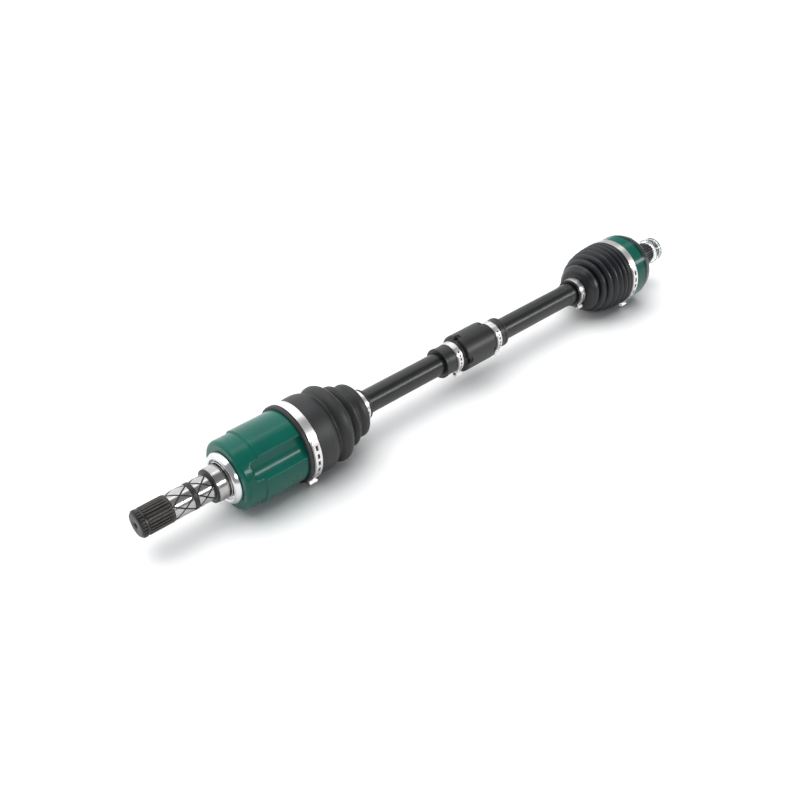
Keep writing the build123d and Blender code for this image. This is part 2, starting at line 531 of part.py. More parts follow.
NODES = {
    "inboard_stub_shaft": inboard_stub_shaft,
    "inboard_housing": inboard_housing,
    "inboard_dust_shield": inboard_dust_shield,
    "inboard_stub_circlip": lambda: open_ring(
        STUB_GROOVE_X + CIRCLIP_PLAY, GROOVE_WIDTH - 2.0 * CIRCLIP_PLAY,
        SPLINE_RADIUS - GROOVE_DEPTH, CIRCLIP_RADIUS, CIRCLIP_GAP_ANGLE),
    "plunge_stop_ring": plunge_stop_ring,
    "inboard_boot": inboard_boot,
    "inboard_large_clamp": lambda: ear_clamp(*INBOARD_LARGE_CLAMP),
    "inboard_small_clamp": lambda: ear_clamp(*INBOARD_SMALL_CLAMP),
    "tripod_spider": tripod_spider,
    "spider_snap_ring": lambda: open_ring(
        TRIPOD_X - SPIDER_WIDTH / 2.0 - SNAP_RING_WIDTH, SNAP_RING_WIDTH,
        SPIDER_BORE_RADIUS - GROOVE_DEPTH, SPIDER_BORE_RADIUS + SNAP_RING_HEIGHT, SNAP_RING_GAP_ANGLE),
    "axle_shaft": axle_shaft,
    "damper_rubber": damper_rubber,
    "damper_mass": damper_mass,
    "damper_clamp_left": lambda: ear_clamp(*DAMPER_CLAMP_LEFT),
    "damper_clamp_right": lambda: ear_clamp(*DAMPER_CLAMP_RIGHT),
    "outboard_boot": outboard_boot,
    "outboard_small_clamp": lambda: ear_clamp(*OUTBOARD_SMALL_CLAMP),
    "outboard_large_clamp": lambda: ear_clamp(*OUTBOARD_LARGE_CLAMP),
    "inner_race": inner_race,
    "inner_race_snap_ring": lambda: open_ring(
        BALL_JOINT_X + INNER_RACE_WIDTH / 2.0, SNAP_RING_WIDTH,
        INNER_RACE_BORE_RADIUS - GROOVE_DEPTH, INNER_RACE_BORE_RADIUS + SNAP_RING_HEIGHT,
        SNAP_RING_GAP_ANGLE),
    "ball_cage": ball_cage,
    "outer_race": outer_race,
    "outboard_stub_protector": outboard_stub_protector,
}


def main():
    """Build every node and write it to its own file."""
    os.makedirs("parts", exist_ok=True)
    shapes = {name: make() for name, make in NODES.items()}
    for number, angle in enumerate(TRUNNION_ANGLES, start=1):
        shapes[f"roller_{number}"] = roller(angle)
        shapes[f"roller_needles_{number}"] = roller_needles(angle)
        shapes[f"roller_retainer_{number}"] = roller_retainer(angle)
    for number, angle in enumerate(BALL_ANGLES, start=1):
        shapes[f"ball_{number}"] = ball(angle)
    for name, shape in shapes.items():
        export_step(shape, os.path.join("parts", name + ".step"))


main()
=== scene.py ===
"""The looks of the drive axle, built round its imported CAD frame.

The axle lies along X and angles about it are measured from +Y towards +Z. Outlines are written in
millimetres, as (x, radius) or (x, radius, rounding), and turned into metres when a mesh is made.
"""
import json
import math
from itertools import product

import bmesh
import bpy
import numpy as np
from mathutils import Matrix, Vector


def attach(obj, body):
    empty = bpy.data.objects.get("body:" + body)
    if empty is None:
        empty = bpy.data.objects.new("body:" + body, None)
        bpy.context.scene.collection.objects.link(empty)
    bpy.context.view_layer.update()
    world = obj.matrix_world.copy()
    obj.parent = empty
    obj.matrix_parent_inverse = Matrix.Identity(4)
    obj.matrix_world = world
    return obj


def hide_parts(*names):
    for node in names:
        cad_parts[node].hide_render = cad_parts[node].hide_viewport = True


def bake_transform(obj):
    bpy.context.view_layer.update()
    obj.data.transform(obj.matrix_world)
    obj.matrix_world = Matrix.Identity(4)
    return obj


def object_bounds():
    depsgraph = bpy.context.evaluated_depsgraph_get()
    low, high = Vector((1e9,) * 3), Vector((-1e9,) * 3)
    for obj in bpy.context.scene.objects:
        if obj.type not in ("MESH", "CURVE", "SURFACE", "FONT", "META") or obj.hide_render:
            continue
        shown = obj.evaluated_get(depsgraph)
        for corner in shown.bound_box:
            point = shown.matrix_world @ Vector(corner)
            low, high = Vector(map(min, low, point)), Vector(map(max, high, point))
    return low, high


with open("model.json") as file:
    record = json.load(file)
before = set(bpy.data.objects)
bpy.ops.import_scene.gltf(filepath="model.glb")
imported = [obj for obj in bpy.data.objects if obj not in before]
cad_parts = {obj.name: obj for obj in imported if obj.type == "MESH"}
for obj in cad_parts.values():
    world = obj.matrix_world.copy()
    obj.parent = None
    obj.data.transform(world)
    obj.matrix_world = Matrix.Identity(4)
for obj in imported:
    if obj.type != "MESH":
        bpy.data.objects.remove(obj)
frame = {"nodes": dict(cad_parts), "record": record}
cad_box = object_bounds()
nodes = frame["nodes"]

MM = 0.001
TURN = 2.0 * math.pi

# ---------------------------------------------------------------- sizes in mm, counts and shares
SPLINE_RADIUS = 13.8
SPLINE_ROOT = 12.7
SPLINE_TEETH = 27
RUN_OUT_DROP = 0.15
PILOT_RADIUS = 13.4
LARGE_SEAT = 41.2
SMALL_SEAT = 16.0
DAMPER_SEAT = 16.6
LARGE_BAND_WIDTH = 9.4
BODY_SEGMENTS = 192
BOOT_SEGMENTS = 160
TOOTH_SEGMENTS = SPLINE_TEETH * 14
CORNER_RADIUS = 0.25
CORNER_SHARE = 0.45
SUPPORT = 0.18
CLOSE = 1e-6

# A corner flatter than this, in radians, isn't rounded.
NEARLY_STRAIGHT = math.pi - 0.02

# ---------------------------------------------------------------- angles round the axle, in degrees
FLUTE_ANGLES = (30.0, 150.0, 270.0)
TRACK_ANGLES = (90.0, 210.0, 330.0)
BALL_ANGLES = (30.0, 90.0, 150.0, 210.0, 270.0, 330.0)
NOTCH_ANGLES = (87.0, 177.0, 267.0, 357.0)
EAR_ANGLE = 232.0

# ---------------------------------------------------------------- spline teeth
# A flank lies between these shares of the way from a tooth's middle to a gap's.
TOOTH_FLANK = (0.38, 0.72)
# The coat begins to be rubbed at one radius and is fully rubbed at the other.
RUBBED_CREST = (13.55, 13.8)

# ---------------------------------------------------------------- boots, in mm
INBOARD_BOOT_OUTLINE = (
    (97.0, 41.2), (102.0, 41.8), (108.0, 42.0), (113.0, 41.7), (117.0, 40.6), (119.8, 38.4),
    (121.8, 36.2), (123.8, 36.7), (127.0, 39.9), (131.5, 41.8), (136.0, 40.6), (139.8, 36.4),
    (142.3, 31.0), (144.2, 29.8), (146.4, 31.8), (149.5, 33.8), (152.6, 32.6), (155.0, 28.4),
    (156.8, 26.6), (159.0, 27.4), (162.5, 29.4), (166.5, 29.2), (169.4, 26.2), (170.8, 21.0),
    (171.3, 17.6),
)
OUTBOARD_CRESTS = (
    (539.1, 29.4), (547.7, 34.4), (556.3, 37.9), (565.2, 40.0), (573.8, 41.1), (581.1, 41.6), (587.5, 41.8),
)
RIB_DEPTH = 4.0
# The ribs' points beside a crest: how far along X, and how far below it.
RIB_FLANK = ((-2.4, RIB_DEPTH * 0.72), (-1.3, RIB_DEPTH * 0.3))
FIRST_RIB_FLANK = ((-2.4, 1.1), (-1.3, 0.5))
RIB_TOP = ((-0.5, 0.1), (0.2, 0.02), (0.85, 0.45), (1.5, RIB_DEPTH * 0.5))
BELL_COVER = 38.9
BELL_COVER_X = 579.0
SPLIT_X = 120.0
BOOT_WALL = 2.5
OUTBOARD_BOOT_WALL = 2.0
INBOARD_CUFF_BORE = 38.6
OUTBOARD_CUFF_BORE = 38.3
BAR_BORE = 13.3
LAND_BORE = 13.9

# ---------------------------------------------------------------- ball joint, in mm and one in radians
BALL_JOINT_X = 599.0
BALL_PITCH_RADIUS = 27.0
TRACK_RADIUS = 8.6
TRACK_SIDE_PLAY = 1.0
TRACK_LIMIT_ANGLE = 0.6
BELL_INNER_RADIUS = 29.9
BELL_TRACK_DEPTH = 36.2
# Where painted shade starts to darken the bell's shoulder and where it is full, in mm.
PAINTED_SHADE_SHOULDER = (618.6, 619.4)


# ---------------------------------------------------------------- meshes
def finish_mesh(obj, sharp=35.0):
    """Faces outwards, smooth shading, and edges kept sharp above an angle in degrees."""
    mesh = obj.data
    work = bmesh.new()
    work.from_mesh(mesh)
    bmesh.ops.recalc_face_normals(work, faces=work.faces)
    work.to_mesh(mesh)
    work.free()
    mesh.shade_smooth()
    mesh.set_sharp_from_angle(angle=math.radians(sharp))
    return obj


def placed(name, data):
    """A new object in the scene that shows some data."""
    obj = bpy.data.objects.new(name, data)
    bpy.context.scene.collection.objects.link(obj)
    return obj


def new_object(name, vertices, faces):
    """A linked mesh object from vertices in millimetres."""
    mesh = bpy.data.meshes.new(name)
    mesh.from_pydata([tuple(c * MM for c in v) for v in vertices], [], faces)
    return placed(name, mesh)


def with_modifiers(obj):
    """The object with its modifiers made final in its mesh."""
    graph = bpy.context.evaluated_depsgraph_get()
    mesh = bpy.data.meshes.new_from_object(obj.evaluated_get(graph))
    obj.modifiers.clear()
    obj.data = mesh
    return obj


def rounded(points, closed=True, steps=4):
    """The outline with its corners rounded, and a support point beside each corner on long runs."""
    corners = []
    count = len(points)
    for i, point in enumerate(points):
        here = Vector(point[:2])
        size = point[2] if len(point) > 2 else CORNER_RADIUS
        if size == 0 or (not closed and i in (0, count - 1)):
            corners.append([here])
            continue
        before = Vector(points[i - 1][:2]) - here
        after = Vector(points[(i + 1) % count][:2]) - here
        angle = before.angle(after)
        if angle > NEARLY_STRAIGHT:
            corners.append([here])
            continue
        cut = min(size / math.tan(angle / 2.0), CORNER_SHARE * before.length, CORNER_SHARE * after.length)
        radius = cut * math.tan(angle / 2.0)
        middle = (before.normalized() + after.normalized()).normalized()
        centre = here + middle * (radius / math.sin(angle / 2.0))
        first = here + before.normalized() * cut - centre
        last = here + after.normalized() * cut - centre
        turn = math.atan2(first.cross(last), first.dot(last))
        corners.append([centre + Matrix.Rotation(turn * k / steps, 2) @ first for k in range(steps + 1)])
    out = []
    for i, arc in enumerate(corners):
        out += arc
        if not closed and i == count - 1:
            break
        start = arc[-1]
        end = corners[(i + 1) % count][0]
        run = end - start
        if run.length > 4.0 * SUPPORT:
            out += [start + run.normalized() * SUPPORT, end - run.normalized() * SUPPORT]
    return [tuple(p) for p in out]


def spread(points, longest):
    """The outline with runs longer than a length divided evenly."""
    out = [points[0]]
    for a, b in zip(points, points[1:]):
        parts = max(1, math.ceil(math.hypot(b[0] - a[0], b[1] - a[1]) / longest))
        out += [(a[0] + (b[0] - a[0]) * k / parts, a[1] + (b[1] - a[1]) * k / parts)
                for k in range(1, parts + 1)]
    return out


def smooth_line(points, steps=6):
    """A smooth curve through the points."""
    p = [np.array(q, float) for q in points]
    p = [2 * p[0] - p[1]] + p + [2 * p[-1] - p[-2]]
    out = []
    for i in range(1, len(p) - 2):
        for k in range(steps):
            t = k / steps
            doubled = (2 * p[i] + (p[i + 1] - p[i - 1]) * t
                       + (2 * p[i - 1] - 5 * p[i] + 4 * p[i + 1] - p[i + 2]) * t ** 2
                       + (3 * p[i] - p[i - 1] - 3 * p[i + 1] + p[i + 2]) * t ** 3)
            out.append(tuple(0.5 * doubled))
    return out + [tuple(p[-2])]


def around(segments):
    """The angles of a full turn."""
    return np.arange(segments) * TURN / segments


def set_coat_and_painted_light(obj, values):
    """Keep a value for each vertex as the mask attribute, which the materials read as a real coat or wear
    on some pieces and as painted shade or highlight on others.
    """
    attribute = obj.data.attributes.new("coat_and_painted_light", "FLOAT", "POINT")
    attribute.data.foreach_set("value", np.array(values, np.float32))


def spun(name, stations, segments=BODY_SEGMENTS, closed=False, sharp=35.0, mark=None):
    """A mesh about X from stations (x, radius), each a number or one value for each angle.

    A station of radius 0 is a single point. closed joins the last station to the first. mark gives
    a value for each vertex from its x, radius and angle, kept as the mask attribute.
    """
    angles = around(segments)
    vertices = []
    rows = []
    marks = []
    for x, radius in stations:
        r = np.broadcast_to(radius, segments)
        xs = np.broadcast_to(x, segments)
        start = len(vertices)
        size = 1 if r.max() < CLOSE else segments
        for i in range(size):
            vertices.append((xs[i], r[i] * math.cos(angles[i]), r[i] * math.sin(angles[i])))
        if mark:
            marks += list(np.broadcast_to(mark(xs, r, angles), segments)[:size])
        rows.append((start, size))
    faces = []
    pairs = list(zip(rows, rows[1:])) + ([(rows[-1], rows[0])] if closed else [])
    for (a, na), (b, nb) in pairs:
        if na == 1 and nb == 1:
            continue
        for i in range(segments):
            j = (i + 1) % segments
            if na == 1:
                faces.append((a, b + i, b + j))
            elif nb == 1:
                faces.append((a + i, b, a + j))
            else:
                faces.append((a + i, b + i, b + j, a + j))
    obj = new_object(name, vertices, faces)
    if mark:
        set_coat_and_painted_light(obj, marks)
    return finish_mesh(obj, sharp)


def smoothstep(value, low, high):
    """0 below low, 1 above high, and a smooth rise between them."""
    t = np.clip((np.asarray(value, float) - low) / (high - low), 0.0, 1.0)
    return t * t * (3.0 - 2.0 * t)


def gap_to(angles, centre):
    """How far each angle is from a centre, in radians, from -pi to pi."""
    return (angles - centre + math.pi) % TURN - math.pi


def soft_min(a, b, blend):
    """The lesser of two arrays, rounded where they cross."""
    h = np.clip(0.5 + 0.5 * (b - a) / blend, 0.0, 1.0)
    return b * (1 - h) + a * h - blend * h * (1 - h)


def tooth_radius(angles):
    """The outline of the splines round a stub."""
    phase = (angles * SPLINE_TEETH / TURN) % 1.0
    side = np.abs(phase - 0.5) * 2.0
    return SPLINE_RADIUS - (SPLINE_RADIUS - SPLINE_ROOT) * smoothstep(side, *TOOTH_FLANK)


def run_out(teeth, start, length, count, opening=False):
    """Stations over a length where the gaps between teeth climb to the crests, or open from them."""
    stations = []
    for k in range(1, count + 1):
        share = float(smoothstep(k / count, 0.0, 1.0))
        if opening:
            share = 1.0 - share
        floor = SPLINE_ROOT + (SPLINE_RADIUS - RUN_OUT_DROP - SPLINE_ROOT) * share
        stations.append((start + length * k / count, np.maximum(teeth, floor)))
    return stations


def rubbed_crest(xs, radius, angles):
    """The splines' mask, 1 where a tooth's crest is rubbed bright."""
    return smoothstep(radius, *RUBBED_CREST)


# ---------------------------------------------------------------- materials
NOISE_ROUGHNESS = 0.55
RUBBER_GRAIN_SCALE = 1400.0
STAIN_DEPTH = 0.12
ROUND_X = (1.0, 0.02, 0.02)
ALONG_X = (0.25, 4.0, 4.0)
MOULD_FLOW = (2.2, 0.8, 0.8)


class Shader:
    """A material's node tree with short calls for adding nodes."""

    def __init__(self, name):
        self.material = bpy.data.materials.new(name)
        self.material.use_nodes = True
        self.tree = self.material.node_tree
        self.surface = self.tree.nodes["Principled BSDF"]
        self.place = self.node("ShaderNodeTexCoord").outputs["Object"]

    def node(self, kind, **values):
        """A new node, with values for its inputs or, failing that, for its settings."""
        made = self.tree.nodes.new(kind)
        for key, value in values.items():
            if key in made.inputs:
                made.inputs[key].default_value = value
            else:
                setattr(made, key, value)
        return made

    def link(self, source, target):
        """Join an output to an input."""
        self.tree.links.new(source, target)

    def feed(self, socket, value):
        """Link a socket to an output, or give it a colour or a number."""
        if isinstance(value, bpy.types.NodeSocket):
            self.link(value, socket)
        elif hasattr(value, "__len__"):
            socket.default_value = (*value, 1.0)
        else:
            socket.default_value = value

    def coat_and_painted_light(self):
        """The mesh's mask attribute: a coat, wear or painted light, as each piece sets it."""
        return self.node("ShaderNodeAttribute", attribute_name="coat_and_painted_light").outputs["Fac"]

    def source(self, name):
        """What already feeds one of the shader's inputs."""
        return self.surface.inputs[name].links[0].from_socket

    def set(self, **values):
        """Give the shader's own sockets values that are the same all over."""
        for key, value in values.items():
            self.surface.inputs[key.replace("_", " ")].default_value = value

    def mapped(self, scale):
        """The object's coordinates, scaled along each axis."""
        made = self.node("ShaderNodeMapping")
        made.inputs["Scale"].default_value = scale
        self.link(self.place, made.inputs["Vector"])
        return made.outputs["Vector"]

    def noise(self, scale, detail, stretch=None):
        """Noise over the object's coordinates, in metres."""
        made = self.node("ShaderNodeTexNoise", Scale=scale, Detail=detail, Roughness=NOISE_ROUGHNESS)
        self.link(self.mapped(stretch) if stretch else self.place, made.inputs["Vector"])
        return made.outputs["Fac"]

    def ramp(self, source, *stops):
        """A colour ramp from (position, colour or grey) stops."""
        made = self.node("ShaderNodeValToRGB")
        elements = made.color_ramp.elements
        while len(elements) < len(stops):
            elements.new(0.5)
        for element, (position, colour) in zip(elements, stops):
            element.position = position
            element.color = (*colour, 1.0) if hasattr(colour, "__len__") else (colour, colour, colour, 1.0)
        self.link(source, made.inputs["Fac"])
        return made.outputs["Color"]

    def span(self, source, low, high, from_low=0.0, from_high=1.0):
        """A value from low to high, while the source goes from from_low to from_high."""
        made = self.node("ShaderNodeMapRange")
        limits = {"From Min": from_low, "From Max": from_high, "To Min": low, "To Max": high}
        for key, value in limits.items():
            made.inputs[key].default_value = value
        self.link(source, made.inputs["Value"])
        return made.outputs["Result"]

    def mix(self, share, a, b):
        """A colour between a and b; the node's sockets for colours are 6, 7 and output 2."""
        made = self.node("ShaderNodeMix", data_type="RGBA", blend_type="MIX")
        for index, value in ((0, share), (6, a), (7, b)):
            self.feed(made.inputs[index], value)
        return made.outputs[2]

    def math(self, operation, a, b):
        """A calculation with two values."""
        made = self.node("ShaderNodeMath", operation=operation)
        for index, value in enumerate((a, b)):
            self.feed(made.inputs[index], value)
        return made.outputs["Value"]

    def to(self, name, source):
        """Join an output to one of the shader's inputs."""
        self.link(source, self.surface.inputs[name])

    def bump(self, *layers):
        """Bump from (height, strength, distance in metres) layers, each on top of the one before."""
        normal = None
        for height, strength, distance in layers:
            made = self.node("ShaderNodeBump", Strength=strength, Distance=distance)
            self.link(height, made.inputs["Height"])
            if normal:
                self.link(normal, made.inputs["Normal"])
            normal = made.outputs["Normal"]
        self.to("Normal", normal)


def paint_green():
    """Green enamel with specks and slight waves, and painted shade where the mask attribute says."""
    s = Shader("green_enamel")
    wide = s.noise(28.0, 3.0)
    fine = s.noise(900.0, 2.0)
    colour = s.ramp(wide, (0.3, (0.0002, 0.086, 0.062)), (0.7, (0.0004, 0.102, 0.074)))
    specks = s.ramp(s.noise(260.0, 1.0), (0.735, 0.0), (0.77, 1.0))
    speckled = s.mix(s.math("MULTIPLY", specks, 0.25), colour, (0.03, 0.20, 0.15))
    # Painted shade: the green turns near black where the mask attribute is set, on the bell's shoulder.
    painted_shoulder_shade = s.coat_and_painted_light()
    s.to("Base Color", s.mix(painted_shoulder_shade, speckled, (0.0006, 0.016, 0.014)))
    s.to("Roughness", s.span(s.noise(60.0, 4.0), 0.22, 0.36))
    s.set(Coat_Weight=0.3, Coat_Roughness=0.05, Specular_IOR_Level=0.1)
    s.bump((wide, 0.10, 0.0006), (fine, 0.035, 0.0001))
    return s.material


def paint_black():
    """Satin black paint, streaked along the bar."""
    s = Shader("black_satin_paint")
    wide = s.noise(22.0, 4.0)
    grain = s.noise(1500.0, 3.0)
    streak = s.noise(60.0, 4.0, stretch=ALONG_X)
    s.to("Base Color", s.ramp(wide, (0.3, (0.0038, 0.0042, 0.0046)), (0.72, (0.0064, 0.0068, 0.0074))))
    s.to("Roughness", s.span(streak, 0.24, 0.42))
    s.set(Coat_Weight=0.15, Coat_Roughness=0.2, Specular_IOR_Level=0.42)
    s.bump((wide, 0.10, 0.0005), (grain, 0.10, 0.00008))
    return s.material


def metal(name, colour, rough, lines, bump=0.05):
    """Bare or plated metal: grinding or rolling lines round X, cloudy stains and a fine grain."""
    s = Shader(name)
    cloud = s.noise(45.0, 4.0)
    ring = s.noise(9000.0, 3.0, stretch=ROUND_X)
    dark = tuple(c * (1.0 - STAIN_DEPTH) for c in colour)
    toned = s.mix(s.span(cloud, 0.0, 1.0, 0.3, 0.7), dark, colour)
    s.to("Base Color", s.mix(s.math("MULTIPLY", ring, lines), toned, tuple(c * 0.6 for c in colour)))
    s.to("Roughness", s.math("ADD", s.span(ring, rough * 0.75, rough * 1.25),
                             s.span(cloud, -0.04, 0.06)))
    s.set(Metallic=1.0)
    s.bump((ring, bump, 0.00006))
    return s


def steel_with_grooves():
    """Ground steel whose grooves and bands keep their black coat, from the mask attribute."""
    s = metal("ground_journal_steel", (0.47, 0.46, 0.45), 0.16, lines=0.18, bump=0.06)
    mask = s.coat_and_painted_light()
    worn = s.math("SUBTRACT", mask, s.span(s.noise(420.0, 4.0), 0.0, 0.35, 0.55, 0.8))
    black = s.ramp(worn, (0.22, 0.0), (0.42, 1.0))
    colour = s.source("Base Color")
    rough = s.source("Roughness")
    s.to("Base Color", s.mix(black, colour, (0.018, 0.0185, 0.02)))
    s.to("Metallic", s.span(black, 1.0, 0.25))
    s.to("Roughness", s.math("ADD", rough, s.span(black, 0.0, 0.28)))
    return s.material


def banding():
    """Rolled stainless strip, with painted shade in its slots and on the inner lap under the tail, from the
    mask attribute.
    """
    s = metal("brushed_stainless", (0.80, 0.785, 0.765), 0.30, lines=0.12, bump=0.04)
    # Painted shade: the mask attribute darkens the slots and the lap under the tail.
    inside = s.coat_and_painted_light()
    colour = s.source("Base Color")
    s.to("Base Color", s.mix(inside, colour, (0.012, 0.012, 0.012)))
    s.to("Metallic", s.span(inside, 1.0, 0.1))
    return s.material


def phosphate():
    """Dark grey coat on the splines, rubbed brighter on the crests."""
    s = Shader("black_phosphate")
    cloud = s.noise(160.0, 5.0)
    grain = s.noise(2600.0, 3.0)
    crest = s.coat_and_painted_light()
    base = s.ramp(cloud, (0.3, (0.013, 0.0122, 0.0118)), (0.75, (0.029, 0.0275, 0.0262)))
    rub = s.math("MULTIPLY", crest, s.span(s.noise(500.0, 3.0), 0.35, 1.0, 0.40, 0.60))
    s.to("Base Color", s.mix(s.math("MULTIPLY", rub, 0.5), base, (0.15, 0.140, 0.132)))
    s.to("Metallic", s.span(rub, 0.35, 0.8))
    s.to("Roughness", s.span(cloud, 0.36, 0.52))
    s.bump((grain, 0.25, 0.00006))
    return s.material


def rubber(name, dark, light, rough, grain=0.22, dust=0.3, coat=0.0, crest_highlight=3.0):
    """Moulded rubber: fine grain, faint flow marks, a dry bloom in patches and crests made paler as a
    painted highlight.
    """
    s = Shader(name)
    cloud = s.noise(38.0, 5.0)
    fine = s.noise(RUBBER_GRAIN_SCALE, 3.0)
    flow = s.noise(70.0, 3.0, stretch=MOULD_FLOW)
    base = s.ramp(flow, (0.3, dark), (0.7, light))
    bloom = s.ramp(cloud, (0.52, 0.0), (0.78, dust))
    dusty = s.mix(bloom, base, tuple(c * 2.0 for c in light))
    # Painted highlight: crests marked in the mask attribute are made paler.
    crest = s.coat_and_painted_light()
    s.to("Base Color", s.mix(crest, dusty, tuple(c * crest_highlight for c in light)))
    s.to("Roughness", s.math("ADD", s.span(cloud, rough - 0.06, rough + 0.08), s.span(fine, -0.03, 0.03)))
    s.set(Specular_IOR_Level=0.5, Coat_Weight=coat, Coat_Roughness=0.3)
    s.bump((flow, 0.08, 0.0005), (fine, grain, 0.00009))
    return s.material


def clear_cap():
    """Slightly clouded clear plastic."""
    s = Shader("clear_cap_plastic")
    cloud = s.noise(140.0, 3.0)
    s.to("Base Color", s.ramp(cloud, (0.3, (0.80, 0.83, 0.83)), (0.7, (0.90, 0.92, 0.92))))
    s.to("Roughness", s.span(cloud, 0.06, 0.14))
    s.set(Transmission_Weight=0.95, IOR=1.34)
    s.bump((cloud, 0.15, 0.0003))
    return s.material


MATERIALS = {
    "green_paint": paint_green(),
    "black_paint": paint_black(),
    "ground_steel": steel_with_grooves(),
    "black_phosphate": phosphate(),
    "zinc_plate": metal("bright_zinc", (0.74, 0.745, 0.75), 0.16, lines=0.05, bump=0.03).material,
    "stainless_band": banding(),
    "boot_rubber": rubber("boot_rubber", (0.0090, 0.0093, 0.0098), (0.0135, 0.0139, 0.0146), 0.50),
    "damper_rubber": rubber("damper_rubber", (0.0036, 0.0038, 0.0042), (0.0060, 0.0062, 0.0068), 0.42,
                            grain=0.12, dust=0.2, coat=0.1),
    "raw_steel": metal("forged_steel", (0.42, 0.41, 0.40), 0.34, lines=0.1).material,
    "spring_steel": metal("spring_steel", (0.07, 0.068, 0.066), 0.38, lines=0.05).material,
    "bearing_steel": metal("bearing_steel", (0.66, 0.66, 0.66), 0.10, lines=0.05, bump=0.01).material,
    "clear_plastic": clear_cap(),
}


def dress(obj, body, slot, *replaced, look=None):
    """Give a piece its material, hang it on the body it rides on, and hide the CAD nodes it stands for."""
    obj.data.materials.clear()
    obj.data.materials.append(look or MATERIALS[slot])
    if body:
        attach(obj, body)
    if replaced:
        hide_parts(*replaced)


# ---------------------------------------------------------------- inboard stub
def inboard_spline_end():
    """The splined tip: centre hole, chamfered teeth, ring groove and the run-out of the teeth."""
    angles = around(TOOTH_SEGMENTS)
    teeth = tooth_radius(angles)

    def cut(limit):
        """The teeth turned down to a radius."""
        return np.minimum(teeth, limit)

    stations = [(-75.0, 0.0), (-76.2, 2.1), (-83.7, 2.2), (-84.85, 3.3), (-85.0, 3.6), (-85.0, 8.0),
                (-85.0, 11.6), (-84.9, 11.9)]
    stations += [(x, cut(12.0 + (x + 84.8) * 0.9)) for x in np.linspace(-84.7, -82.6, 7)]
    stations += [(-81.0, teeth), (-79.75, teeth), (-79.55, cut(13.45)), (-79.5, cut(13.2)),
                 (-79.5, 12.35), (-79.3, 12.25), (-77.5, 12.25), (-77.3, 12.35),
                 (-77.3, cut(13.2)), (-77.2, cut(13.5)), (-76.9, teeth), (-70.0, teeth),
                 (-63.0, teeth), (-56.5, teeth)]
    stations += run_out(teeth, -56.5, 3.6, 7)
    stations += [(-52.4, SPLINE_RADIUS - 0.1), (-52.1, SPLINE_RADIUS - 0.3), (-52.0, 13.0), (-52.0, 0.0)]
    return spun("inboard_spline_end", stations, TOOTH_SEGMENTS, mark=rubbed_crest)


def inboard_pilot():
    """The ground pilot with crossed oil grooves, its bands, the shoulder and the seal journal."""
    segments = 540
    angles = around(segments)
    bays = ((-51.4, -30.0), (-26.5, -9.4))
    pitch = TURN / 6
    half_width = 0.64
    coat_half_width = half_width * 1.5
    flank_share = 0.6
    depth = 0.35
    phase = math.radians(22.0)
    station_step = 0.3
    black_coat = ((-53.0, -51.5), (-30.9, -25.7), (-9.35, -6.5))

    def groove(x, edge):
        """How far inside a groove of a half width each angle is, from 0 to 1, at one x."""
        total = np.zeros(segments)
        for low, high in bays:
            if not low < x < high:
                continue
            share = (x - low) / (high - low)
            lean = pitch * PILOT_RADIUS / (high - low)
            for way in (-1.0, 1.0):
                off = (angles - phase - way * share * pitch + pitch / 2.0) % pitch - pitch / 2.0
                away = np.abs(off) * PILOT_RADIUS / math.hypot(1.0, lean)
                total = np.maximum(total, 1.0 - smoothstep(away, edge * flank_share, edge))
        return total

    coats = {}
    stations = [(-52.0, 0.0), (-52.0, 13.0), (-51.9, 13.3), (-51.6, 13.4)]
    for bay in bays:
        for x in np.arange(bay[0] + 0.1, bay[1], station_step):
            coats[round(float(x), 4)] = groove(float(x), coat_half_width)
            stations.append((float(x), PILOT_RADIUS - depth * groove(float(x), half_width)))
        if bay == bays[0]:
            stations += [(-30.05, 13.4), (-30.0, 13.5), (-29.9, 13.75), (-29.7, 13.8), (-26.8, 13.8),
                         (-26.6, 13.75), (-26.5, 13.5), (-26.45, 13.4)]
    stations += [(-9.3, 13.4), (-9.1, 13.5), (-9.0, 13.8), (-9.0, 16.2), (-8.85, 16.75), (-8.5, 17.2),
                 (-8.1, 17.38), (-7.8, 17.4), (-5.9, 17.4), (-5.6, 17.42), (-5.5, 17.6), (-5.3, 17.9),
                 (-5.1, 18.0), (-4.8, 18.0), (4.8, 18.0), (5.2, 17.95), (5.5, 17.6), (5.8, 17.5),
                 (6.0, 17.5), (11.8, 17.5), (12.0, 17.5), (12.0, 0.0)]

    def mark(xs, radius, all_angles):
        """The black coat: full on the bands and the shoulder, and over the grooves in the bays."""
        x = float(xs[0])
        if any(low < x < high for low, high in black_coat):
            return 1.0
        return coats.get(round(x, 4), 0.0)

    return spun("inboard_pilot_and_journal", stations, segments, mark=mark)


def dust_shield():
    """The pressed shield: sleeve, channel and flared rim."""
    outline = rounded([
        (5.9, 17.6, 0.3), (12.0, 17.6, 0.0), (12.0, 22.2, 0.0), (7.6, 22.2, 0.9), (6.9, 24.2, 1.6),
        (9.2, 25.75, 1.6), (11.3, 26.2, 0.4), (11.45, 27.2, 0.45), (8.6, 26.8, 2.0), (5.7, 25.2, 2.0),
        (5.0, 22.9, 1.4), (5.7, 21.2, 0.7), (11.0, 21.2, 0.5), (11.0, 18.6, 0.4), (5.9, 18.6, 0.4)],
        steps=5)
    return spun("inboard_dust_shield_ring", outline, closed=True)


